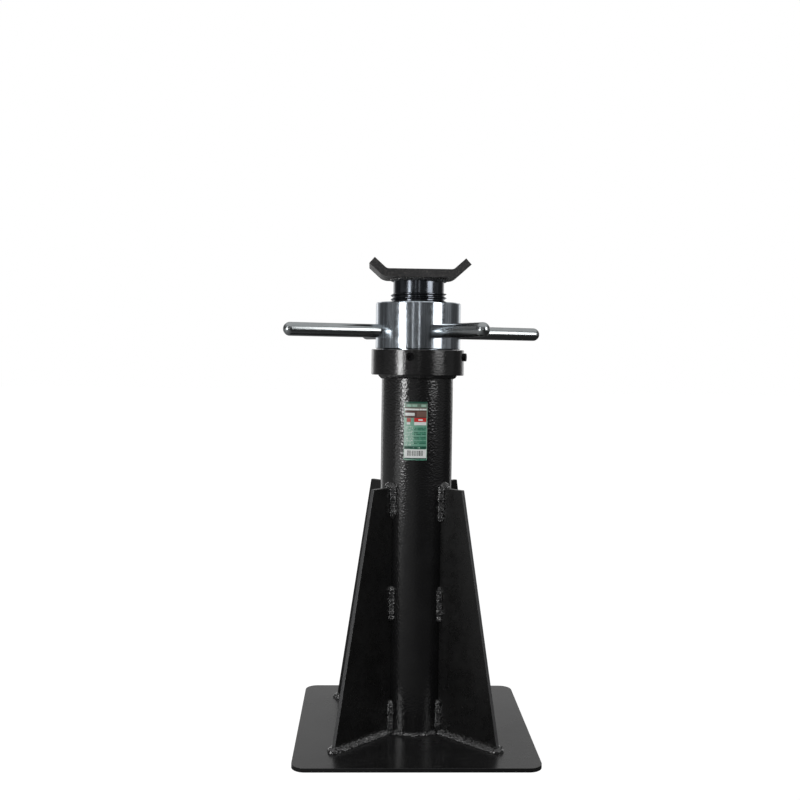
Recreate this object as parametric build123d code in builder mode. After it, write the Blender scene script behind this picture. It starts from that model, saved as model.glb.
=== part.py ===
"""Screw-top axle stand: a gusseted column on a base plate, with a lifting screw that a hand-turned nut raises.

Millimetres, +Z up. The origin is the middle of the base plate's underside. -Y is the front.
The nut turns on a ball thrust bearing inside the collar. A key in the column stops the screw from turning,
so each clockwise turn of the nut raises the screw and its saddle by one pitch.
"""
import os
from math import cos, radians, sin, sqrt, tan

from build123d import *

os.makedirs("parts", exist_ok=True)

# ---- driving dimensions ----
# base and column
PLATE_SIZE = 350.0
PLATE_T = 6.0
PLATE_CORNER_R = 20.0
TUBE_OD = 108.0
TUBE_WALL = 8.0
TUBE_TOP = 544.0

# gussets, one on each diagonal of the plate
GUSSET_T = 6.0
GUSSET_TOE_R = 168.0
GUSSET_TOP_R = 93.5
GUSSET_TOP = 377.0
GUSSET_ANGLES = {"front_right": -45, "rear_right": 45, "rear_left": 135, "front_left": 225}

# collar that holds the bearing and the nut
COLLAR_OD = 140.0
COLLAR_TOP = 582.0
COLLAR_FLOOR = 4.0
COLLAR_BORE_R = 55.1
COLLAR_CHAMFER = 1.0

# grub screws that keep the nut in the collar
GRUB_Z = 571.4
GRUB_R = 6.0
GRUB_LENGTH = 20.0
GRUB_DOG_R = 4.25
GRUB_DOG_LENGTH = 6.0
GRUB_HEX = 6.0
GRUB_HEX_DEPTH = 6.0
GRUB_HOLE_R = 6.05
GRUB_MOUTH_R = 7.0
GRUB_ANGLES = [-102.0, -12.0, 78.0, 168.0]
GRUB_OUTER_END_R = [69.5, 69.5, 74.3, 69.5]

# lifting thread, M85 x 6, simplified: rings of the thread's pitch and profile on the screw, and a plain
# bore of its major diameter in the nut, so that the rings pass through at any height
PITCH = 6.0
THREAD_CREST_R = 42.2
THREAD_CREST_W = 0.75
THREAD_ROOT_W = 1.5
THREAD_FLANK = 60.0
NUT_BORE_R = 42.6

# lifting screw
SCREW_BOTTOM = 216.0
THREAD_TURNS = 75
NECK_R = 38.25
NECK_TAPER = 0.7
KEYWAY_W = 10.0
KEYWAY_FLOOR_R = 34.5
KEYWAY_TOP = 572.0

# guide bush and key inside the column's top
BUSH_LENGTH = 56.0
RUNNING_GAP = 0.3
KEY_BOTTOM = 496.0
KEY_TOP = 536.0

# thrust bearing
RACE_T = 5.0
RACE_OUTER_R = 55.0
RACE_INNER_R = 42.7
BALL_R = 4.0
BALL_GAP = 0.1
BALL_COUNT = 28
BALL_CIRCLE_R = 48.75
BEARING_H = 15.0
CAGE_T = 3.2
CAGE_INNER_R = 43.6
CAGE_OUTER_R = 53.9

# lifting nut and its four handle rods
NUT_R = 64.0
NUT_FOOT = 582.5
NUT_TOP = 652.0
NUT_CHAMFER = 1.5
SPIGOT_R = 54.8
GROOVE_R = 49.0
GROOVE_W = 9.5
ROD_R = 10.0
ROD_Z = 609.0
ROD_TIP_R = 212.5
ROD_ROOT_R = 48.0
ROD_HOLE_R = 10.05
ROD_ANGLES = [-67.5, 22.5, 112.5, 202.5]

# saddle, bent from one strip of plate
SADDLE_T = 12.0
SADDLE_DEPTH = 96.0
SADDLE_SEAT = 700.0
SADDLE_FLAT_HALF = 49.0
SADDLE_WING = 24.0
SADDLE_WING_ANGLE = 42.0
SADDLE_BEND_R = 8.0

# stop washer and bolt on the screw's lower end
WASHER_R = 45.5
WASHER_T = 8.0
WASHER_HOLE_R = 8.5
BOLT_R = 8.0
BOLT_HOLE_R = 8.05
BOLT_DEPTH = 30.0
BOLT_HEAD_H = 10.0
BOLT_HEAD_AF = 24.0

# rating label, a thin sheet wrapped on the tube
LABEL_T = 0.2
LABEL_BOTTOM = 419.5
LABEL_TOP = 505.5
LABEL_ANGLES = (-22.9, 13.8)

TUBE_R = TUBE_OD / 2
BORE_R = TUBE_R - TUBE_WALL
COLLAR_R = COLLAR_OD / 2
BEARING_BOTTOM = TUBE_TOP + COLLAR_FLOOR
BEARING_TOP = BEARING_BOTTOM + BEARING_H
BALL_Z = BEARING_BOTTOM + BEARING_H / 2
FLANK_H = (PITCH - THREAD_CREST_W - THREAD_ROOT_W) / 2
THREAD_ROOT_R = THREAD_CREST_R - FLANK_H * tan(radians(THREAD_FLANK))
THREAD_TOP = SCREW_BOTTOM + THREAD_TURNS * PITCH
SADDLE_UNDERSIDE = SADDLE_SEAT - SADDLE_T


def polar(radius, angle):
    """Point at a distance from the axis, with the angle in degrees from +X."""
    return (radius * cos(radians(angle)), radius * sin(radians(angle)))


def radial_plane(azimuth, height=0.0):
    """Plane whose normal points out from the axis. Azimuth 0 is the front (-Y) and +90 is +X."""
    outward = (sin(radians(azimuth)), -cos(radians(azimuth)), 0)
    return Plane(origin=(0, 0, height), x_dir=(0, 0, 1), z_dir=outward)


def save(builder, name):
    """Label a finished piece and write its file."""
    builder.part.label = name
    export_step(builder.part, f"parts/{name}.step")


# ---- base plate ----
with BuildPart() as base_plate:
    with BuildSketch():
        RectangleRounded(PLATE_SIZE, PLATE_SIZE, PLATE_CORNER_R)
    extrude(amount=PLATE_T)
save(base_plate, "base_plate")

# ---- column tube ----
with BuildPart() as column_tube:
    with BuildSketch(Plane.XY.offset(PLATE_T)):
        Circle(TUBE_R)
        Circle(BORE_R, mode=Mode.SUBTRACT)
    extrude(amount=TUBE_TOP - PLATE_T)
save(column_tube, "column_tube")


# ---- gussets ----
def build_gusset(angle):
    """One gusset plate, coped to the tube. Its straight outer edge leans in from the toe to the top."""
    outward = polar(1, angle)
    web = Plane(origin=(0, 0, 0), x_dir=(*outward, 0), z_dir=(outward[1], -outward[0], 0))
    with BuildPart() as gusset:
        with BuildSketch(web):
            with BuildLine():
                Polyline(
                    (TUBE_R - TUBE_WALL / 2, PLATE_T),
                    (GUSSET_TOE_R, PLATE_T),
                    (GUSSET_TOP_R, GUSSET_TOP),
                    (TUBE_R - TUBE_WALL / 2, GUSSET_TOP),
                    close=True,
                )
            make_face()
        extrude(amount=GUSSET_T / 2, both=True)
        with BuildSketch(Plane.XY):
            Circle(TUBE_R)
        extrude(amount=GUSSET_TOP + PLATE_T, mode=Mode.SUBTRACT)
    return gusset


for place, gusset_angle in GUSSET_ANGLES.items():
    save(build_gusset(gusset_angle), f"gusset_{place}")

# ---- collar ----
with BuildPart() as collar_ring:
    with BuildSketch(Plane.XY.offset(TUBE_TOP)):
        Circle(COLLAR_R)
    extrude(amount=COLLAR_TOP - TUBE_TOP)
    chamfer(collar_ring.edges().filter_by(GeomType.CIRCLE), COLLAR_CHAMFER)
    with BuildSketch(Plane.XY.offset(TUBE_TOP)):
        Circle(BORE_R)
    extrude(amount=COLLAR_FLOOR, mode=Mode.SUBTRACT)
    with BuildSketch(Plane.XY.offset(BEARING_BOTTOM)):
        Circle(COLLAR_BORE_R)
    extrude(amount=COLLAR_TOP - BEARING_BOTTOM, mode=Mode.SUBTRACT)
    for azimuth in GRUB_ANGLES:
        with BuildSketch(radial_plane(azimuth, GRUB_Z)):
            Circle(GRUB_HOLE_R)
        extrude(amount=COLLAR_R + 1, mode=Mode.SUBTRACT)
        with BuildSketch(radial_plane(azimuth, GRUB_Z).offset(COLLAR_R - 1)) as mouth:
            Circle(GRUB_HOLE_R)
        with BuildSketch(radial_plane(azimuth, GRUB_Z).offset(COLLAR_R)) as rim:
            Circle(GRUB_MOUTH_R)
        loft([mouth.face(), rim.face()], mode=Mode.SUBTRACT)
save(collar_ring, "collar_ring")


# ---- grub screws ----
def build_grub_screw(azimuth, outer_end_r):
    """A socket set screw with a dog point, lying along a radius of the collar."""
    inner_end_r = outer_end_r - GRUB_LENGTH
    with BuildPart() as grub:
        with BuildSketch(radial_plane(azimuth, GRUB_Z).offset(inner_end_r)):
            Circle(GRUB_DOG_R)
        extrude(amount=GRUB_DOG_LENGTH)
        with BuildSketch(radial_plane(azimuth, GRUB_Z).offset(inner_end_r + GRUB_DOG_LENGTH)):
            Circle(GRUB_R)
        extrude(amount=GRUB_LENGTH - GRUB_DOG_LENGTH)
        chamfer(grub.edges().filter_by(GeomType.CIRCLE), 0.8)
        with BuildSketch(radial_plane(azimuth, GRUB_Z).offset(outer_end_r)):
            RegularPolygon(GRUB_HEX / sqrt(3), 6)
        extrude(amount=-GRUB_HEX_DEPTH, mode=Mode.SUBTRACT)
    return grub.part


with BuildPart() as grub_screws:
    for azimuth, outer_end_r in zip(GRUB_ANGLES, GRUB_OUTER_END_R):
        add(build_grub_screw(azimuth, outer_end_r))
save(grub_screws, "grub_screws")

# ---- guide bush ----
KEY_W = KEYWAY_W - 2 * RUNNING_GAP
with BuildPart() as guide_bush:
    with BuildSketch(Plane.XY.offset(TUBE_TOP - BUSH_LENGTH)):
        Circle(BORE_R)
        Circle(THREAD_CREST_R + RUNNING_GAP, mode=Mode.SUBTRACT)
    extrude(amount=BUSH_LENGTH)
    with BuildSketch(Plane.XY.offset(KEY_BOTTOM)):
        with Locations((0, BORE_R)):
            Rectangle(KEY_W, BORE_R / 2)
    extrude(amount=KEY_TOP - KEY_BOTTOM, mode=Mode.SUBTRACT)
save(guide_bush, "guide_bush")

# ---- guide key, let into the bush at the back ----
with BuildPart() as guide_key:
    with BuildSketch(Plane.XY.offset(KEY_BOTTOM)):
        Circle(BORE_R)
        with Locations((0, KEYWAY_FLOOR_R + RUNNING_GAP + BORE_R / 2)):
            Rectangle(KEY_W, BORE_R, mode=Mode.INTERSECT)
    extrude(amount=KEY_TOP - KEY_BOTTOM)
save(guide_key, "guide_key")


# ---- thrust bearing ----
def build_race(bottom, outer_r):
    """A bearing race with a ball groove in the side that faces the balls."""
    with BuildPart() as race:
        with BuildSketch(Plane.XY.offset(bottom)):
            Circle(outer_r)
            Circle(RACE_INNER_R, mode=Mode.SUBTRACT)
        extrude(amount=RACE_T)
        with BuildSketch(Plane.XZ):
            with Locations((BALL_CIRCLE_R, BALL_Z)):
                Circle(BALL_R + BALL_GAP)
        revolve(axis=Axis.Z, mode=Mode.SUBTRACT)
    return race


save(build_race(BEARING_BOTTOM, RACE_OUTER_R), "bearing_lower_race")
save(build_race(BEARING_TOP - RACE_T, SPIGOT_R), "bearing_upper_race")

with BuildPart() as bearing_cage:
    with BuildSketch(Plane.XY.offset(BALL_Z - CAGE_T / 2)):
        Circle(CAGE_OUTER_R)
        Circle(CAGE_INNER_R, mode=Mode.SUBTRACT)
        with PolarLocations(BALL_CIRCLE_R, BALL_COUNT):
            Circle(BALL_R + BALL_GAP, mode=Mode.SUBTRACT)
    extrude(amount=CAGE_T)
save(bearing_cage, "bearing_cage")

with BuildPart() as bearing_balls:
    with Locations(Location((0, 0, BALL_Z))):
        with PolarLocations(BALL_CIRCLE_R, BALL_COUNT):
            Sphere(BALL_R)
save(bearing_balls, "bearing_balls")


# ---- lifting screw ----
def thread_outline():
    """Points up the thread's side, in (radius, height): half a root, a flank, a crest, a flank, half a root."""
    points = [(THREAD_ROOT_R, SCREW_BOTTOM)]
    for turn in range(THREAD_TURNS):
        crest_start = SCREW_BOTTOM + turn * PITCH + THREAD_ROOT_W / 2 + FLANK_H
        points.append((THREAD_ROOT_R, crest_start - FLANK_H))
        points.append((THREAD_CREST_R, crest_start))
        points.append((THREAD_CREST_R, crest_start + THREAD_CREST_W))
        points.append((THREAD_ROOT_R, crest_start + THREAD_CREST_W + FLANK_H))
    return points


with BuildPart() as lifting_screw:
    with BuildSketch(Plane.XZ):
        with BuildLine():
            Polyline(
                (0, SCREW_BOTTOM),
                *thread_outline(),
                (THREAD_ROOT_R, THREAD_TOP),
                (NECK_R, THREAD_TOP + NECK_TAPER),
                (NECK_R, SADDLE_UNDERSIDE),
                (0, SADDLE_UNDERSIDE),
                close=True,
            )
        make_face()
    revolve(axis=Axis.Z)
    with BuildSketch(Plane.XY.offset(SCREW_BOTTOM - 1)):
        with Locations((0, KEYWAY_FLOOR_R + KEYWAY_W)):
            Rectangle(KEYWAY_W, 2 * KEYWAY_W)
    extrude(amount=KEYWAY_TOP - SCREW_BOTTOM + 1, mode=Mode.SUBTRACT)
    with BuildSketch(Plane.XY.offset(SCREW_BOTTOM - 1)):
        Circle(BOLT_HOLE_R)
    extrude(amount=BOLT_DEPTH + 3, mode=Mode.SUBTRACT)
save(lifting_screw, "lifting_screw")

# ---- lifting nut ----
with BuildPart() as lifting_nut:
    with BuildSketch(Plane.XY.offset(NUT_FOOT)):
        Circle(NUT_R)
    extrude(amount=NUT_TOP - NUT_FOOT)
    chamfer(lifting_nut.edges().filter_by(GeomType.CIRCLE), NUT_CHAMFER)
    with BuildSketch(Plane.XY.offset(BEARING_TOP)):
        Circle(SPIGOT_R)
    extrude(amount=NUT_FOOT - BEARING_TOP)
    with BuildSketch(Plane.XY.offset(GRUB_Z - GROOVE_W / 2)):
        Circle(SPIGOT_R + 1)
        Circle(GROOVE_R, mode=Mode.SUBTRACT)
    extrude(amount=GROOVE_W, mode=Mode.SUBTRACT)
    for azimuth in ROD_ANGLES:
        with BuildSketch(radial_plane(azimuth, ROD_Z).offset(ROD_ROOT_R)):
            Circle(ROD_HOLE_R)
        extrude(amount=NUT_R, mode=Mode.SUBTRACT)
    with BuildSketch(Plane.XY.offset(BEARING_TOP)):
        Circle(NUT_BORE_R)
    extrude(amount=NUT_TOP - BEARING_TOP, mode=Mode.SUBTRACT)
    chamfer(lifting_nut.edges().filter_by(GeomType.CIRCLE).group_by(Axis.Z)[-1].sort_by(SortBy.RADIUS)[0], NUT_CHAMFER)
save(lifting_nut, "lifting_nut")


# ---- handle rods ----
def build_rod(azimuth):
    """A round rod with a domed end, set into the nut."""
    with BuildPart() as rod:
        with BuildSketch(radial_plane(azimuth, ROD_Z).offset(ROD_ROOT_R)):
            Circle(ROD_R)
        extrude(amount=ROD_TIP_R - ROD_R - ROD_ROOT_R)
        dome = radial_plane(azimuth, ROD_Z).offset(ROD_TIP_R - ROD_R)
        with Locations(Location(dome.origin)):
            Sphere(ROD_R)
    return rod


for number, rod_azimuth in enumerate(ROD_ANGLES, start=1):
    save(build_rod(rod_azimuth), f"handle_rod_{number}")


# ---- saddle ----
def saddle_outline(side):
    """Points of the saddle's seat line on one side of the middle: the bend corner and the wing's tip."""
    rise = SADDLE_WING * sin(radians(SADDLE_WING_ANGLE))
    run = SADDLE_WING * cos(radians(SADDLE_WING_ANGLE))
    corner = (side * SADDLE_FLAT_HALF, SADDLE_SEAT)
    tip = (side * (SADDLE_FLAT_HALF + run), SADDLE_SEAT + rise)
    return corner, tip


left_corner, left_tip = saddle_outline(-1)
right_corner, right_tip = saddle_outline(1)
with BuildPart() as saddle_plate:
    with BuildSketch(Plane.XZ):
        with BuildLine():
            FilletPolyline(left_tip, left_corner, right_corner, right_tip, radius=SADDLE_BEND_R)
            offset(amount=SADDLE_T, side=Side.RIGHT)
        make_face()
    extrude(amount=SADDLE_DEPTH / 2, both=True)
save(saddle_plate, "saddle_plate")

# ---- stop washer and bolt ----
with BuildPart() as stop_washer:
    with BuildSketch(Plane.XY.offset(SCREW_BOTTOM - WASHER_T)):
        Circle(WASHER_R)
        Circle(WASHER_HOLE_R, mode=Mode.SUBTRACT)
    extrude(amount=WASHER_T)
save(stop_washer, "stop_washer")

with BuildPart() as stop_bolt:
    with BuildSketch(Plane.XY.offset(SCREW_BOTTOM - WASHER_T - BOLT_HEAD_H)):
        RegularPolygon(BOLT_HEAD_AF / sqrt(3), 6)
    extrude(amount=BOLT_HEAD_H)
    with BuildSketch(Plane.XY.offset(SCREW_BOTTOM - WASHER_T)):
        Circle(BOLT_R)
    extrude(amount=WASHER_T + BOLT_DEPTH)
save(stop_bolt, "stop_bolt")

# ---- rating label ----
with BuildPart() as rating_label:
    start, end = (a - 90 for a in LABEL_ANGLES)
    with BuildSketch(Plane.XY.offset(LABEL_BOTTOM)):
        with BuildLine():
            outer = CenterArc((0, 0), TUBE_R + LABEL_T, start, end - start)
            inner = CenterArc((0, 0), TUBE_R, start, end - start)
            Line(outer @ 0, inner @ 0)
            Line(outer @ 1, inner @ 1)
        make_face()
    extrude(amount=LABEL_TOP - LABEL_BOTTOM)
save(rating_label, "rating_label")
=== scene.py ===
from math import cos, pi, radians, sin, sqrt, tau
from random import Random

import bmesh
import bpy
from mathutils import Matrix, Vector, noise


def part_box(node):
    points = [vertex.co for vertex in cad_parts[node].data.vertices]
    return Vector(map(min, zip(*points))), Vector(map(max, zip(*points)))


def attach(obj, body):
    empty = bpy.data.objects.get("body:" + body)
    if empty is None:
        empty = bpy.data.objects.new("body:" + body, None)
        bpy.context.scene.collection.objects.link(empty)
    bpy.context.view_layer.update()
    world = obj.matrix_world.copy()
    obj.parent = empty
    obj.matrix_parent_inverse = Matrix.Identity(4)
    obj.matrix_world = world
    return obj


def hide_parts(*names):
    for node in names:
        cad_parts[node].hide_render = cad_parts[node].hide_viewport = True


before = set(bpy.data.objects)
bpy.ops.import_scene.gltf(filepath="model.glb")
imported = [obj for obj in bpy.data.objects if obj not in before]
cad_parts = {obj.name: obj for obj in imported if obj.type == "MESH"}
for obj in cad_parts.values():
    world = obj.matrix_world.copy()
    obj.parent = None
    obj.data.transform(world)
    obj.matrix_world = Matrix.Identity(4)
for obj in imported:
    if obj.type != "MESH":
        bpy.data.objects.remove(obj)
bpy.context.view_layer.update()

MM = 0.001
UP = Vector((0, 0, 1))

# ---- places taken from the frame ----
PLATE_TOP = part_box("base_plate")[1].z
TUBE_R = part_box("column_tube")[1].x
COLLAR_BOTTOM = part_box("collar_ring")[0].z
LABEL_LOW, LABEL_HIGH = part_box("rating_label")
SCREW_LOW, SCREW_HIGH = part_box("lifting_screw")
GUSSET_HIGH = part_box("gusset_rear_right")[1]
GUSSET_TOP = GUSSET_HIGH.z
GUSSET_HALF = 3 * MM
# the toe's outer corner stands at radius r, half a thickness off the diagonal: x = (r + half) / sqrt(2)
GUSSET_TOE_R = GUSSET_HIGH.x * sqrt(2) - GUSSET_HALF
NECK_R = 38.25 * MM
GUSSET_ANGLES = {"front_right": -45, "rear_right": 45, "rear_left": 135, "front_left": 225}
ROD_AZIMUTHS = {f"handle_rod_{number}": 90 * number - 157.5 for number in (1, 2, 3, 4)}


# ---- node helpers ----
def grey(value):
    return (value, value, value)


class Nodes:
    """Short ways to add nodes to a tree. Wherever a value goes in, it may be another node's output."""

    def __init__(self, tree):
        self.tree = tree

    def add(self, kind, inputs=None, **settings):
        made = self.tree.nodes.new(kind)
        for key, value in settings.items():
            setattr(made, key, value)
        for socket, value in (inputs or {}).items():
            self.set(made, socket, value)
        return made

    def set(self, made, socket, value):
        if isinstance(value, bpy.types.NodeSocket):
            self.tree.links.new(value, made.inputs[socket])
        elif made.inputs[socket].type == "RGBA":
            made.inputs[socket].default_value = (*value, 1)
        else:
            made.inputs[socket].default_value = value

    def ramp(self, value, low, high, to_low, to_high, interpolation="LINEAR"):
        inputs = {"Value": value, "From Min": low, "From Max": high, "To Min": to_low, "To Max": to_high}
        return self.add("ShaderNodeMapRange", inputs, interpolation_type=interpolation).outputs["Result"]

    def share(self, value, low=0.3, high=0.7):
        """0 to 1 as a noise goes from low to high. Most of a noise lies between 0.3 and 0.7."""
        return self.ramp(value, low, high, 0, 1)

    def mix(self, share, one, other):
        factor, colour_a, colour_b, colour_out = 0, 6, 7, 2
        inputs = {factor: share, colour_a: one, colour_b: other}
        return self.add("ShaderNodeMix", inputs, data_type="RGBA").outputs[colour_out]

    def math(self, operation, one, other):
        return self.add("ShaderNodeMath", {0: one, 1: other}, operation=operation).outputs[0]

    def split(self, vector):
        return self.add("ShaderNodeSeparateXYZ", {"Vector": vector}).outputs

    def camera_ray(self):
        return self.add("ShaderNodeLightPath").outputs["Is Camera Ray"]


class Shader(Nodes):
    """A material with a Principled shader, and the textures that materials are made of."""

    def __init__(self, name, **sockets):
        self.material = bpy.data.materials.new(name)
        self.material.use_nodes = True
        super().__init__(self.material.node_tree)
        self.shader = self.tree.nodes["Principled BSDF"]
        self.place = self.add("ShaderNodeTexCoord").outputs["Object"]
        self.finish(**sockets)

    def noise(self, scale, detail=3.0, rough=0.5, place=None):
        inputs = {"Vector": place or self.place, "Scale": scale, "Detail": detail, "Roughness": rough}
        return self.add("ShaderNodeTexNoise", inputs).outputs["Fac"]

    def cells(self, scale):
        inputs = {"Vector": self.place, "Scale": scale, "Smoothness": 0.25}
        return self.add("ShaderNodeTexVoronoi", inputs, feature="SMOOTH_F1").outputs["Distance"]

    def stretched(self, scale, turn=0.0):
        inputs = {"Vector": self.place, "Rotation": (0, 0, turn), "Scale": scale}
        return self.add("ShaderNodeMapping", inputs).outputs["Vector"]

    def upward(self):
        """How far a face looks up: 1 on level ground, 0 on a wall."""
        return self.split(self.add("ShaderNodeNewGeometry").outputs["Normal"])["Z"]

    def bump(self, height, distance, strength, under=None):
        inputs = {"Height": height, "Distance": distance, "Strength": strength}
        if under:
            inputs["Normal"] = under
        return self.add("ShaderNodeBump", inputs).outputs["Normal"]

    def finish(self, **sockets):
        for socket, value in sockets.items():
            self.set(self.shader, socket.replace("_", " "), value)
        return self.material


# ---- materials ----
def paint(name, dark, light, rough, peel_size, peel_depth, dirt=0.0, coat=0.0, cut_edge_and_sheen=False):
    """Black enamel: slow colour drift, cloudy gloss, and orange peel whose cells are peel_size metres across.

    The cut-edge switch makes faces that slope slightly upwards duller, like thin paint on a flame-cut edge,
    and paler, which is a painted highlight where light catches them.
    """
    s = Shader(name, Specular_IOR_Level=0.55, Coat_Weight=coat, Coat_Roughness=0.12)
    drift = s.noise(18, 4, 0.6)
    cloud = s.noise(70, 5, 0.65)
    colour = s.mix(s.share(drift), dark, light)
    if dirt:
        dust = s.ramp(s.noise(380, 5, 0.7), 0.50, 0.72, 0, dirt)
        colour = s.mix(dust, colour, (0.16, 0.15, 0.14))
    gloss = s.ramp(cloud, 0.3, 0.7, rough * 0.8, rough * 1.25)
    if cut_edge_and_sheen:
        upward = s.upward()
        cut_slope_and_sheen = s.math("MULTIPLY", s.ramp(upward, 0.10, 0.16, 0, 1), s.ramp(upward, 0.45, 0.60, 1, 0))
        # painted highlight: faces that slope slightly upwards get a paler colour, as if lit; their duller
        # gloss is the cut edge's own finish
        colour = s.mix(cut_slope_and_sheen, colour, (0.085, 0.085, 0.087))
        gloss = s.mix(cut_slope_and_sheen, gloss, grey(0.42))
    peel = s.cells(1.0 / peel_size)
    fine = s.noise(0.5 / peel_size, 2)
    normal = s.bump(peel, peel_depth, 0.6)
    normal = s.bump(fine, peel_depth * 0.5, 0.5, normal)
    return s.finish(Base_Color=colour, Roughness=gloss, Normal=normal)


def turned_metal(name, tint, rough, line_scale, turn=0.0, depth=2e-6, uneven=1.0, reflection_streaks=None):
    """Machined metal. line_scale stretches the tool marks, large across them and small along them.

    turn swings the marks about the vertical. uneven is how much the gloss and the surface wander.
    The streak scale stretches darker streaks in the same way as line_scale; they are painted reflections of
    dark strips round the object.
    """
    s = Shader(name, Metallic=1.0)
    marks = s.noise(1.0, 3, 0.6, s.stretched(line_scale, turn))
    smear = s.noise(26, 4, 0.6)
    handled = s.noise(90, 5, 0.7)
    colour = s.mix(s.share(smear, 0.35, 0.7), tint, tuple(c * 0.82 for c in tint))
    if reflection_streaks:
        painted_reflection_streaks = s.noise(1.0, 3, 0.7, s.stretched(reflection_streaks))
        # painted reflection: darker streaks along the axis stand in for dark strips of the surroundings
        # mirrored in the metal
        colour = s.mix(s.share(painted_reflection_streaks, 0.42, 0.62), colour, tuple(c * 0.60 for c in tint))
    normal = s.bump(marks, depth, 0.8)
    normal = s.bump(s.noise(140, 2), depth * 6, 0.25 * uneven, normal)
    gloss = s.ramp(handled, 0.3, 0.75, rough * (1 - 0.3 * uneven), rough * (1 + 0.4 * uneven))
    return s.finish(Base_Color=colour, Roughness=gloss, Normal=normal)


def plate_paint():
    """Semi-matt paint on flat plate: fine even texture, faint sweeping marks and grey dust."""
    s = Shader("base plate paint", Specular_IOR_Level=0.5)
    drift = s.noise(9, 4, 0.6)
    colour = s.mix(s.share(drift), (0.008, 0.008, 0.0083), (0.015, 0.015, 0.0156))
    level = s.ramp(s.upward(), 0.3, 0.9, 0, 1)
    sweep = s.noise(1.0, 4, 0.6, s.stretched((60, 320, 60), 0.35))
    swept = s.math("MULTIPLY", s.ramp(sweep, 0.52, 0.72, 0, 0.30), level)
    colour = s.mix(swept, colour, grey(0.07))
    specks = s.math("MULTIPLY", s.ramp(s.noise(700, 3, 0.7), 0.62, 0.72, 0, 0.5), level)
    colour = s.mix(specks, colour, (0.11, 0.105, 0.1))
    normal = s.bump(s.noise(900, 3, 0.6), 4e-5, 0.5)
    normal = s.bump(s.noise(60), 1.5e-4, 0.3, normal)
    return s.finish(Base_Color=colour, Roughness=s.ramp(drift, 0.3, 0.7, 0.20, 0.30), Normal=normal)


GREEN = (0.115, 0.37, 0.25)
MID_GREEN = (0.25, 0.45, 0.36)
DARK_GREEN = (0.012, 0.085, 0.055)
DULL_GREEN = (0.16, 0.23, 0.18)
PALE = (0.39, 0.60, 0.49)
WHITE = (0.88, 0.91, 0.89)
RED = (0.66, 0.035, 0.03)
DULL_RED = (0.55, 0.14, 0.12)
BROWN = (0.11, 0.058, 0.048)
PALE_BROWN = (0.20, 0.115, 0.09)
INK = (0.03, 0.03, 0.032)
LABEL_START, LABEL_END = radians(-22.9), radians(13.8)
TEXT_ROWS, TEXT_TOP, TEXT_STEP = 13, 0.418, 0.0262
ROWS_APART = 7.3


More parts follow.
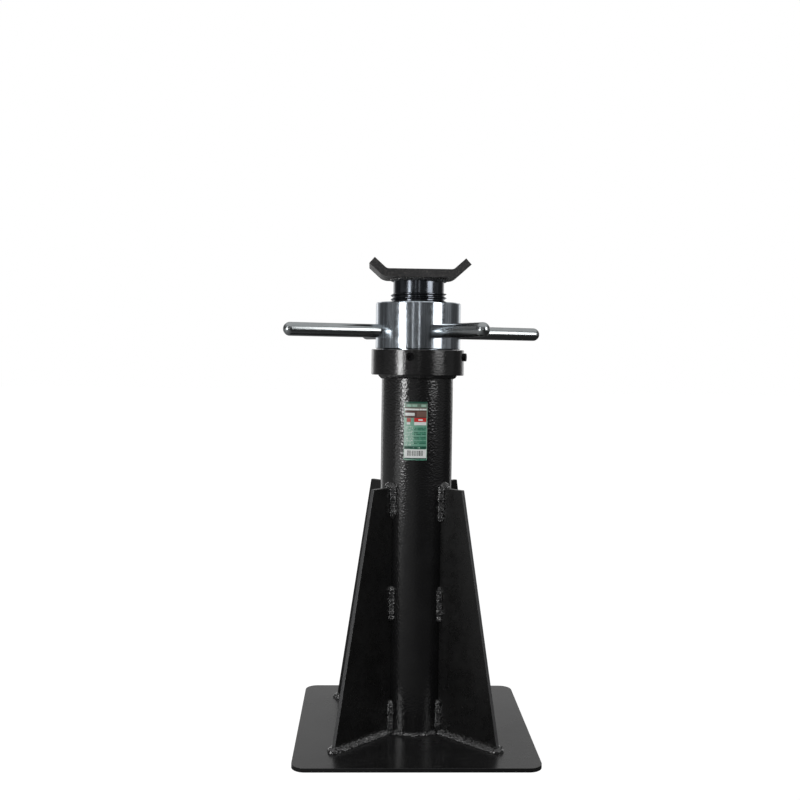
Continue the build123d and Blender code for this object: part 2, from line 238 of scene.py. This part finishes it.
def label_print():
    """Printed film: coloured panels, plain bars where text would be, and a bar pattern. It says nothing.

    Places on the label go from 0 to 1, from its left to its right edge and from its top down.
    """
    s = Shader("label print", Roughness=0.32, Specular_IOR_Level=0.5, Coat_Weight=0.3, Coat_Roughness=0.08)
    xyz = s.split(s.place)
    turn = s.math("ARCTAN2", xyz["X"], s.math("MULTIPLY", xyz["Y"], -1.0))
    across = s.ramp(turn, LABEL_START, LABEL_END, 0, 1)
    down = s.ramp(xyz["Z"], LABEL_HIGH.z, LABEL_LOW.z, 0, 1)

    def inside(value, low, high):
        return s.math("MULTIPLY", s.math("GREATER_THAN", value, low), s.math("LESS_THAN", value, high))

    def panel(under, left, right, top, bottom, colour, share=None):
        mask = s.math("MULTIPLY", inside(across, left, right), inside(down, top, bottom))
        if share is not None:
            mask = s.math("MULTIPLY", mask, share)
        return s.mix(mask, under, colour)

    def along(scale, row=0.0):
        """A point that moves with the place across the label. Each row's points lie far from the others'."""
        inputs = {"X": s.math("MULTIPLY", across, scale), "Y": row * ROWS_APART}
        return s.add("ShaderNodeCombineXYZ", inputs).outputs[0]

    def word_gaps(row, scale, density):
        """Breaks a bar into word-like lengths, a different break for each row."""
        return s.math("GREATER_THAN", s.noise(1.0, 2, 0.8, along(scale, row)), 1 - density)

    # heading
    colour = s.mix(s.ramp(across, 0.1, 0.7, 0.75, 0.0), GREEN, PALE)
    colour = panel(colour, 0, 1, 0, 0.030, DARK_GREEN)
    colour = panel(colour, 0, 1, 0.030, 0.100, DULL_GREEN)
    colour = panel(colour, 0.08, 0.56, 0.045, 0.085, PALE, word_gaps(1, 14, 0.58))
    colour = panel(colour, 0.72, 0.94, 0.045, 0.085, PALE, word_gaps(2, 14, 0.62))
    colour = panel(colour, 0, 1, 0.100, 0.275, BROWN)
    colour = panel(colour, 0.03, 0.97, 0.115, 0.145, WHITE, word_gaps(3, 22, 0.62))
    colour = panel(colour, 0.55, 1, 0.165, 0.255, PALE_BROWN)
    colour = panel(colour, 0.05, 0.46, 0.190, 0.240, WHITE, word_gaps(4, 12, 0.72))
    # red box with a white foot, and the small square beside it
    colour = panel(colour, 0.44, 0.96, 0.275, 0.345, RED)
    colour = panel(colour, 0.62, 0.80, 0.297, 0.322, WHITE, word_gaps(5, 18, 0.6))
    colour = panel(colour, 0.44, 0.96, 0.345, 0.400, WHITE)
    colour = panel(colour, 0.12, 0.30, 0.280, 0.345, DULL_RED)
    colour = panel(colour, 0.12, 0.27, 0.352, 0.390, WHITE)
    # two columns of short bars
    for row in range(TEXT_ROWS):
        top = TEXT_TOP + row * TEXT_STEP
        colour = panel(colour, 0.05, 0.42, top, top + 0.0105, WHITE, word_gaps(10 + row, 26, 0.50))
        ink = DARK_GREEN if row % 3 else MID_GREEN
        colour = panel(colour, 0.44, 0.95, top, top + 0.0125, ink, word_gaps(30 + row, 16, 0.56))
    # foot band, bar pattern and border
    colour = panel(colour, 0, 1, 0.762, 0.808, DARK_GREEN)
    colour = panel(colour, 0.40, 0.70, 0.772, 0.798, PALE, word_gaps(6, 16, 0.45))
    colour = panel(colour, 0.02, 0.98, 0.812, 0.962, WHITE)
    bars = s.math("GREATER_THAN", s.noise(1.0, 1, 0.5, along(46)), 0.50)
    colour = panel(colour, 0.16, 0.84, 0.835, 0.925, INK, bars)
    colour = panel(colour, 0, 1, 0.962, 0.985, DARK_GREEN)
    for left, right in ((0, 0.022), (0.978, 1)):
        colour = panel(colour, left, right, 0.03, 0.985, PALE)
    scuff = s.ramp(s.noise(420, 4, 0.7), 0.6, 0.75, 0, 0.35)
    colour = s.mix(scuff, colour, (0.35, 0.38, 0.36))
    return s.finish(Base_Color=colour, Normal=s.bump(s.noise(160), 3e-5, 0.4))


BLACK = (0.0065, 0.0065, 0.0068)
column_paint = paint("column paint", BLACK, (0.012, 0.012, 0.0125), 0.17, 3.0 * MM, 4.0e-4, coat=0.15)
collar_paint = paint("collar paint", BLACK, grey(0.011), 0.20, 3.0 * MM, 1.7e-4, coat=0.25)
# the gussets' upward-sloping edge faces get a painted highlight as well as a duller cut-edge finish
gusset_paint = paint("gusset paint", grey(0.005), grey(0.010), 0.28, 1.6 * MM, 2e-5, dirt=0.05, cut_edge_and_sheen=True)
saddle_paint = paint(
    "saddle paint", (0.021, 0.021, 0.0215), (0.040, 0.040, 0.041), 0.34, 3.0 * MM, 3.0e-4, dirt=0.6
)
weld_paint = paint("weld paint", grey(0.006), (0.018, 0.018, 0.019), 0.07, 2.4 * MM, 2.0e-4, coat=1.0)
# the turned chrome and the blackened steel below carry painted reflection streaks
nut_metal = turned_metal("turned chrome", (0.63, 0.69, 0.755), 0.16, (40, 40, 5200), reflection_streaks=(420, 420, 9))
screw_metal = turned_metal(
    "blackened steel", (0.120, 0.130, 0.147), 0.17, (60, 60, 3600), depth=4e-6, reflection_streaks=(500, 500, 14)
)
fastener_metal = turned_metal("black oxide", (0.022, 0.022, 0.023), 0.26, (900, 900, 900), depth=6e-6)
worn_edge = turned_metal("worn edge", (0.12, 0.12, 0.122), 0.34, (160, 160, 160), depth=6e-6)
bearing_metal = turned_metal("ground bearing steel", (0.56, 0.57, 0.58), 0.16, (60, 60, 5200))
brass_metal = turned_metal("cage brass", (0.72, 0.52, 0.22), 0.28, (60, 60, 4200))
bronze_metal = turned_metal("bush bronze", (0.52, 0.33, 0.15), 0.34, (60, 60, 4200))

NODE_FINISH = {
    "base_plate": plate_paint(),
    "column_tube": column_paint,
    "collar_ring": collar_paint,
    "grub_screws": fastener_metal,
    "bearing_lower_race": bearing_metal,
    "bearing_upper_race": bearing_metal,
    "bearing_cage": brass_metal,
    "bearing_balls": bearing_metal,
    "guide_bush": bronze_metal,
    "guide_key": fastener_metal,
    "rating_label": label_print(),
    "lifting_nut": nut_metal,
    "lifting_screw": screw_metal,
    "saddle_plate": saddle_paint,
    "stop_washer": fastener_metal,
    "stop_bolt": fastener_metal,
}
for place in GUSSET_ANGLES:
    NODE_FINISH[f"gusset_{place}"] = gusset_paint
for rod, azimuth in ROD_AZIMUTHS.items():
    # the drawing marks run along each rod
    turn = -radians(azimuth - 90)
    NODE_FINISH[rod] = turned_metal(
        f"drawn steel {rod[-1]}", (0.46, 0.487, 0.495), 0.19, (12, 1500, 1500), turn, uneven=0.3
    )
for name, material in NODE_FINISH.items():
    for node_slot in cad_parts[name].material_slots:
        node_slot.material = material


def ease_edges(name, width, worn=None):
    """Breaks a part's sharp edges, so that they catch the light, and may give them a worn finish."""
    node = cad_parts[name]
    join = node.modifiers.new("joined corners", "WELD")
    join.merge_threshold = 1e-6
    bevel = node.modifiers.new("eased edges", "BEVEL")
    bevel.width = width
    bevel.segments = 3
    bevel.limit_method = "ANGLE"
    bevel.angle_limit = radians(35)
    flatten = node.modifiers.new("flat faces", "WEIGHTED_NORMAL")
    flatten.keep_sharp = False
    if worn:
        node.data.materials.append(worn)
        bevel.material = 1


ease_edges("base_plate", 0.8 * MM, worn_edge)
ease_edges("grub_screws", 0.35 * MM)
for place in GUSSET_ANGLES:
    ease_edges(f"gusset_{place}", 0.6 * MM)


# ---- mesh helpers ----
def put_object(name, mesh):
    made = bpy.data.objects.new(name, mesh)
    bpy.context.scene.collection.objects.link(made)
    return made


def mesh_of(name, bm):
    """Turns a bmesh into a mesh, and frees it."""
    mesh = bpy.data.meshes.new(name)
    bm.to_mesh(mesh)
    bm.free()
    return mesh


# ---- lifting screw with its true helical thread ----
PITCH = 6 * MM
PER_TURN = 48
CREST_R = SCREW_HIGH.x
ROOT_R = 38.95 * MM
THREAD_TOP = 666 * MM
# one pitch of the thread's side, as (radius, share of the pitch)
THREAD_PROFILE = ((ROOT_R, 0.125), (CREST_R, 0.4375), (CREST_R, 0.5625), (ROOT_R, 0.875))
KEYWAY_W, KEYWAY_FLOOR_R, KEYWAY_TOP = 10 * MM, 34.5 * MM, 572 * MM
NECK_SIDES = 96


def cut_level(bm, height, keep_below):
    """Cuts a mesh with a level plane and caps the cut."""
    made = bmesh.ops.bisect_plane(
        bm,
        geom=bm.verts[:] + bm.edges[:] + bm.faces[:],
        dist=1e-7,
        plane_co=(0, 0, height),
        plane_no=(0, 0, 1),
        clear_outer=keep_below,
        clear_inner=not keep_below,
    )
    rim = [item for item in made["geom_cut"] if isinstance(item, bmesh.types.BMEdge)]
    bmesh.ops.contextual_create(bm, geom=rim)


def thread_mesh():
    """The threaded length: a helical skin of whole turns, cut level at both ends."""
    bm = bmesh.new()
    turns = round((THREAD_TOP - SCREW_LOW.z) / PITCH) + 2
    rows = []
    for i in range(turns * PER_TURN + 1):
        turn = tau * i / PER_TURN
        lift = SCREW_LOW.z + PITCH * (i / PER_TURN - 1.5)
        points = [(r * cos(turn), r * sin(turn), lift + share * PITCH) for r, share in THREAD_PROFILE]
        rows.append([bm.verts.new(point) for point in points])
    for row, after in zip(rows, rows[1:]):
        for k in range(3):
            bm.faces.new((row[k], after[k], after[k + 1], row[k + 1]))
    # each turn's upper root meets the lower root of the turn above
    for row, after, above, after_above in zip(rows, rows[1:], rows[PER_TURN:], rows[PER_TURN + 1:]):
        bm.faces.new((row[3], after[3], after_above[0], above[0]))
    cut_level(bm, SCREW_LOW.z, keep_below=False)
    cut_level(bm, THREAD_TOP, keep_below=True)
    return mesh_of("lifting_screw_thread", bm)


def keyway_cutter():
    """A box that is longer than the keyway at its open end and its open side."""
    low = Vector((-KEYWAY_W / 2, KEYWAY_FLOOR_R, SCREW_LOW.z - PITCH))
    high = Vector((KEYWAY_W / 2, KEYWAY_FLOOR_R + KEYWAY_W, KEYWAY_TOP))
    bm = bmesh.new()
    bmesh.ops.create_cube(bm, size=1)
    bmesh.ops.scale(bm, vec=high - low, verts=bm.verts)
    bmesh.ops.translate(bm, vec=(high + low) / 2, verts=bm.verts)
    return put_object("keyway_cutter", mesh_of("keyway_cutter", bm))


def lathe(bm, outline):
    """Spins an outline of (radius, height) points, whose ends lie on the axis, into a closed skin."""
    rings = []
    for radius, height in outline:
        if radius == 0:
            rings.append([bm.verts.new((0, 0, height))])
        else:
            turns = [tau * i / NECK_SIDES for i in range(NECK_SIDES)]
            rings.append([bm.verts.new((radius * cos(t), radius * sin(t), height)) for t in turns])
    for low, high in zip(rings, rings[1:]):
        for i in range(NECK_SIDES):
            after = i + 1
            corners = [low[i % len(low)], low[after % len(low)], high[after % len(high)], high[i % len(high)]]
            bm.faces.new(list(dict.fromkeys(corners)))


def build_screw():
    screw = put_object("lifting_screw_thread", thread_mesh())
    cutter = keyway_cutter()
    cut = screw.modifiers.new("keyway", "BOOLEAN")
    cut.operation = "DIFFERENCE"
    cut.solver = "EXACT"
    cut.object = cutter
    bpy.context.view_layer.update()
    mesh = bpy.data.meshes.new_from_object(screw.evaluated_get(bpy.context.evaluated_depsgraph_get()))
    screw.modifiers.clear()
    screw.data = mesh
    bpy.data.objects.remove(cutter)
    bm = bmesh.new()
    bm.from_mesh(mesh)
    # the plain neck stands in the threaded length's top
    low, high, ease = THREAD_TOP - PITCH, SCREW_HIGH.z, 0.5 * MM
    lathe(bm, ((0, low), (NECK_R - ease, low), (NECK_R, low + ease), (NECK_R, high), (0, high)))
    bmesh.ops.recalc_face_normals(bm, faces=bm.faces)
    bm.to_mesh(mesh)
    bm.free()
    mesh.materials.clear()
    mesh.materials.append(screw_metal)
    mesh.shade_smooth()
    mesh.set_sharp_from_angle(angle=radians(30))
    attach(screw, "screw")
    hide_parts("lifting_screw")


build_screw()


# ---- weld beads ----
STITCH_LEG, TOP_LEG, FOOT_LEG = 6.6 * MM, 7.26 * MM, 7.6 * MM
TUBE_FOOT_LEG, COLLAR_LEG, SADDLE_LEG = 5.4 * MM, 5.0 * MM, 4.6 * MM
# the lowest and highest point of each short stitch up a gusset's side, and the lowest of the top one, in mm
STITCHES = ((6, 58), (175, 229))
TOP_STITCH = 327
ARC_SHARE = 1.2             # over 1, a bead's face is flatter than a quarter circle
FACE_POINTS = 14            # points across a bead's face
STATION_STEP = 0.7 * MM
RIPPLE = 2.6 * MM
SUNK = 0.6 * MM             # how deep a bead's edges lie in the metal
CLEAR = 0.5 * MM            # how far a bead's end stands off the part it runs up to
END_SWELL = 0.002           # square of the share of its size that a bead keeps at its ends, for an end face


def weld_skin(stations, leg, seed, closed=False):
    """Lumpy fillet bead, as rows of points.

    stations are (corner, along one face, along the other face) down the bead's length.
    """
    rows = []
    count = len(stations)
    length = sum((stations[i + 1][0] - stations[i][0]).length for i in range(count - 1))
    travelled = 0.0
    for i, (corner, one, other) in enumerate(stations):
        if i:
            travelled += (corner - stations[i - 1][0]).length
        wander = 2.5 * noise.noise(corner * 60 + Vector((seed, 0, 0)))
        swell = 1 + 0.09 * sin(tau * travelled / RIPPLE + wander)
        swell += 0.30 * noise.noise(corner * 140 + Vector((0, seed, 0)))
        if not closed:
            from_end = min(travelled, length - travelled) / (1.1 * leg)
            swell *= sqrt(max(END_SWELL, 1 - (1 - min(1.0, from_end)) ** 2))
        row = []
        for k in range(FACE_POINTS):
            share = k / (FACE_POINTS - 1)
            edge = k in (0, FACE_POINTS - 1)
            turn = share * pi / 2
            out = cos(turn) ** ARC_SHARE if k < FACE_POINTS - 1 else 0.0
            up = sin(turn) ** ARC_SHARE
            point = corner + (one * out + other * up) * leg * swell
            lump = noise.noise(point * 300 + Vector((0, 0, seed))) * 0.22
            lump += noise.noise(point * 560 + Vector((seed, 0, 0))) * 0.15
            point += (one + other).normalized() * lump * leg * min(1.0, swell) * sin(share * pi) ** 0.5
            row.append(point - (one + other) * (SUNK if edge else 0.25 * SUNK))
        row.append(corner - (one + other) * SUNK * 2)
        rows.append(row)
    return rows


def add_weld(bm, rows, closed=False):
    """Adds a bead's rows of points to a mesh as one closed skin."""
    verts = [[bm.verts.new(p) for p in row] for row in rows]
    width = len(rows[0])
    pairs = list(zip(verts, verts[1:])) + ([(verts[-1], verts[0])] if closed else [])
    for low, high in pairs:
        for k in range(width):
            after = (k + 1) % width
            bm.faces.new((low[k], low[after], high[after], high[k]))
    if not closed:
        bm.faces.new(verts[0])
        bm.faces.new(list(reversed(verts[-1])))


def finish_weld(name, bm, body):
    """Turns a mesh of beads into a smooth named piece that rides on a body."""
    bmesh.ops.recalc_face_normals(bm, faces=bm.faces)
    mesh = mesh_of(name, bm)
    mesh.materials.append(weld_paint)
    for polygon in mesh.polygons:
        polygon.use_smooth = True
    piece = put_object(name, mesh)
    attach(piece, body)


def steps(length):
    return max(3, round(length / STATION_STEP))


def straight(start, end, one, other):
    count = steps((end - start).length)
    return [(start.lerp(end, i / count), one, other) for i in range(count + 1)]


def arc(height, radius, start, end, other):
    """Stations round the column, with angles in degrees from +X."""
    count = steps(radians(end - start) * radius)
    stations = []
    for i in range(count + 1):
        turn = radians(start + (end - start) * i / count)
        out = Vector((cos(turn), sin(turn), 0))
        stations.append((out * radius + UP * height, out, other))
    return stations


def round_corner(corner, one, start, end):
    """Stations that turn a bead's side from one direction to another about a corner."""
    count = 7
    turns = [pi / 2 * i / count for i in range(1, count)]
    return [(corner, one, start * cos(turn) + end * sin(turn)) for turn in turns]


def foot_path(radial, tangent):
    """Stations that run out along a gusset's foot on one side, round its toe, and back along the other."""
    floor = UP * PLATE_TOP
    near = radial * (TUBE_R + CLEAR)
    far = radial * (GUSSET_TOE_R - GUSSET_HALF)
    side = tangent * GUSSET_HALF
    path = straight(near + side + floor, far + side + floor, tangent, UP)
    count = 10
    for i in range(1, count):
        turn = pi * i / count
        out = tangent * cos(turn) + radial * sin(turn)
        path.append((far + out * GUSSET_HALF + floor, out, UP))
    return path + straight(far - side + floor, near - side + floor, -tangent, UP)


def top_path(radial, tangent, bottom):
    """Stations that climb one side of a gusset, wrap over its top and come 4 mm further down the other."""
    root = radial * sqrt(TUBE_R**2 - GUSSET_HALF**2)
    right, left = root + tangent * GUSSET_HALF, root - tangent * GUSSET_HALF
    top = UP * GUSSET_TOP
    path = straight(right + UP * bottom, right + top, radial, tangent)
    path += round_corner(right + top, radial, tangent, UP)
    path += straight(right + top, left + top, radial, UP)
    path += round_corner(left + top, radial, UP, -tangent)
    return path + straight(left + top, left + UP * (bottom - 4 * MM), radial, -tangent)


def weld_gusset(number, place, angle):
    radial = Vector((cos(radians(angle)), sin(radians(angle)), 0))
    tangent = Vector((-radial.y, radial.x, 0))
    bm = bmesh.new()
    random = Random(number)

    def about(height):
        """A height in mm, give or take 3 mm."""
        return height * MM + random.uniform(-3, 3) * MM

    def add(stations, leg):
        add_weld(bm, weld_skin(stations, leg, random.uniform(0, 90)))

    for side in (tangent, -tangent):
        root = radial * sqrt(TUBE_R**2 - GUSSET_HALF**2) + side * GUSSET_HALF
        for low, high in STITCHES:
            bottom = PLATE_TOP + CLEAR if low * MM <= PLATE_TOP else about(low)
            add(straight(root + UP * bottom, root + UP * about(high), radial, side), STITCH_LEG)
    add(top_path(radial, tangent, about(TOP_STITCH)), TOP_LEG)
    add(foot_path(radial, tangent), FOOT_LEG)
    finish_weld(f"weld_gusset_{place}", bm, "stand")


def weld_column_foot():
    bm = bmesh.new()
    for number in range(4):
        # from one gusset to the next
        start = 45 + 90 * number
        stations = arc(PLATE_TOP, TUBE_R, start + 5, start + 85, UP)
        add_weld(bm, weld_skin(stations, TUBE_FOOT_LEG, 11.0 * number))
    finish_weld("weld_column_foot", bm, "stand")


def weld_ring(name, height, radius, leg, seed, body):
    """A bead right round the column, under a part."""
    bm = bmesh.new()
    stations = arc(height, radius, 0, 359, -UP)
    add_weld(bm, weld_skin(stations, leg, seed, closed=True), closed=True)
    finish_weld(name, bm, body)


for number, (place, angle) in enumerate(GUSSET_ANGLES.items()):
    weld_gusset(number, place, angle)
weld_column_foot()
weld_ring("weld_collar", COLLAR_BOTTOM, TUBE_R, COLLAR_LEG, 5.0, "stand")
weld_ring("weld_saddle", SCREW_HIGH.z, NECK_R, SADDLE_LEG, 8.0, "screw")


# ---- floor ----
FLOOR_HALF = 14.0


def build_floor():
    """A flat floor. To the camera it is evenly white; what it gives back to the object is a dim grey, darker
    towards +X as painted shade, and towards -X it glows faintly as painted light.
    """
    mesh = bpy.data.meshes.new("studio_floor")
    corners = [(x * FLOOR_HALF, y * FLOOR_HALF, 0) for x, y in ((-1, -1), (1, -1), (1, 1), (-1, 1))]
    mesh.from_pydata(corners, [], [(0, 1, 2, 3)])
    s = Shader("studio floor", Roughness=0.85, Specular_IOR_Level=0.1, Emission_Color=grey(1))
    across = s.split(s.place)["X"]
    cloudy = s.mix(s.share(s.noise(3, 4)), grey(0.14), grey(0.16))
    # painted shade: the floor's colour darkens towards +X
    shaded_tone = s.mix(s.ramp(across, -0.1, 0.5, 0, 1), cloudy, grey(0.05))
    # painted light: the floor glows faintly towards -X
    glow = s.ramp(across, -0.9, 0.1, 0.18, 0.0)
    strength = s.math("MAXIMUM", s.math("MULTIPLY", s.camera_ray(), 0.97), glow)
    mesh.materials.append(s.finish(Base_Color=shaded_tone, Emission_Strength=strength))
    floor = put_object("studio_floor", mesh)


build_floor()


# ---- light ----
BOX_AWAY = 1.9
STRIP_AWAY = 2.6


def softbox(name, azimuth, distance, low, high, width, radiance, spread=180):
    """An upright softbox facing the column. Azimuth 0 is in front (-Y) and +90 is to the right."""
    light = bpy.data.lights.new(name, "AREA")
    light.shape = "RECTANGLE"
    light.size = width
    light.size_y = high - low
    light.energy = radiance * pi * width * (high - low)
    light.spread = radians(spread)
    lamp = put_object(name, light)
    turn = radians(azimuth)
    lamp.location = (sin(turn) * distance, -cos(turn) * distance, (low + high) / 2)
    lamp.rotation_euler = (pi / 2, 0, turn)


softbox("left_box_lower", -45, BOX_AWAY, 0.40, 0.72, 0.46, 16)
softbox("left_box_upper", -45, BOX_AWAY, 0.72, 1.90, 0.30, 1.55, spread=110)
softbox("left_box_foot", -58, BOX_AWAY, 0.03, 0.40, 1.00, 1.05)
softbox("right_box_lower", 50, BOX_AWAY, 0.40, 0.61, 0.90, 0.34)
softbox("right_box_upper", 50, BOX_AWAY, 0.61, 1.90, 0.80, 1.9, spread=110)
softbox("right_box_foot", 74, BOX_AWAY, 0.15, 0.40, 1.20, 0.14)
softbox("side_panel_right", 84, BOX_AWAY, 0.40, 1.90, 0.85, 0.11)
softbox("side_panel_left", -80, BOX_AWAY, 0.50, 1.90, 0.80, 0.10)
softbox("rear_box_left", -152, BOX_AWAY, 0.05, 1.60, 0.50, 0.75)
softbox("rear_box_right", 150, BOX_AWAY, 0.05, 1.60, 0.60, 0.5)
softbox("gap_strip_left", -16.2, STRIP_AWAY, 0.55, 1.70, 0.07, 2)
softbox("gap_strip_middle", 0.0, STRIP_AWAY, 0.55, 1.70, 0.06, 3)


def build_world():
    """Pale behind the object and overhead and dim in front, so that dark paint is dark with pale rims.

    To the camera it is evenly white.
    """
    world = bpy.data.worlds.new("studio")
    world.use_nodes = True
    world.node_tree.nodes.clear()
    w = Nodes(world.node_tree)
    direction = w.split(w.add("ShaderNodeTexCoord").outputs["Generated"])
    behind = w.ramp(direction["Y"], 0.55, 0.95, 0.08, 0.60, "SMOOTHSTEP")
    overhead = w.ramp(direction["Z"], 0.40, 0.85, 0.08, 0.65, "SMOOTHSTEP")
    factor, number_a, number_b = 0, 2, 3
    inputs = {factor: w.camera_ray(), number_a: w.math("MAXIMUM", behind, overhead), number_b: 1.0}
    strength = w.add("ShaderNodeMix", inputs, data_type="FLOAT").outputs[0]
    shade = w.add("ShaderNodeBackground", {"Color": grey(1), "Strength": strength})
    w.add("ShaderNodeOutputWorld", {"Surface": shade.outputs[0]})
    bpy.context.scene.world = world


build_world()


# ---- camera ----
LENS_MM, SENSOR_MM = 45.49, 36.0
SHIFT_X, SHIFT_Y = -0.0067, 0.0206
EYE = (-0.06966, -1.53289, 0.57465)
YAW, PITCH_DOWN, ROLL = -0.034, 0.0613, 0.0137


def build_camera():
    """A view from just left of the front, with the eye a little below the handle rods."""
    data = bpy.data.cameras.new("camera")
    data.sensor_width = SENSOR_MM
    data.lens = LENS_MM
    data.shift_x = SHIFT_X
    data.shift_y = SHIFT_Y
    forward = Vector((-sin(YAW) * cos(PITCH_DOWN), cos(YAW) * cos(PITCH_DOWN), -sin(PITCH_DOWN)))
    right = Vector((cos(YAW), sin(YAW), 0))
    up = right.cross(forward)
    right, up = right * cos(ROLL) + up * sin(ROLL), up * cos(ROLL) - right * sin(ROLL)
    camera = bpy.data.objects.new("camera", data)
    facing = Matrix((right, up, -forward)).transposed().to_4x4()
    camera.matrix_world = Matrix.Translation(EYE) @ facing
    bpy.context.scene.collection.objects.link(camera)
    bpy.context.scene.camera = camera


build_camera()
bpy.context.scene.view_settings.view_transform = "Standard"
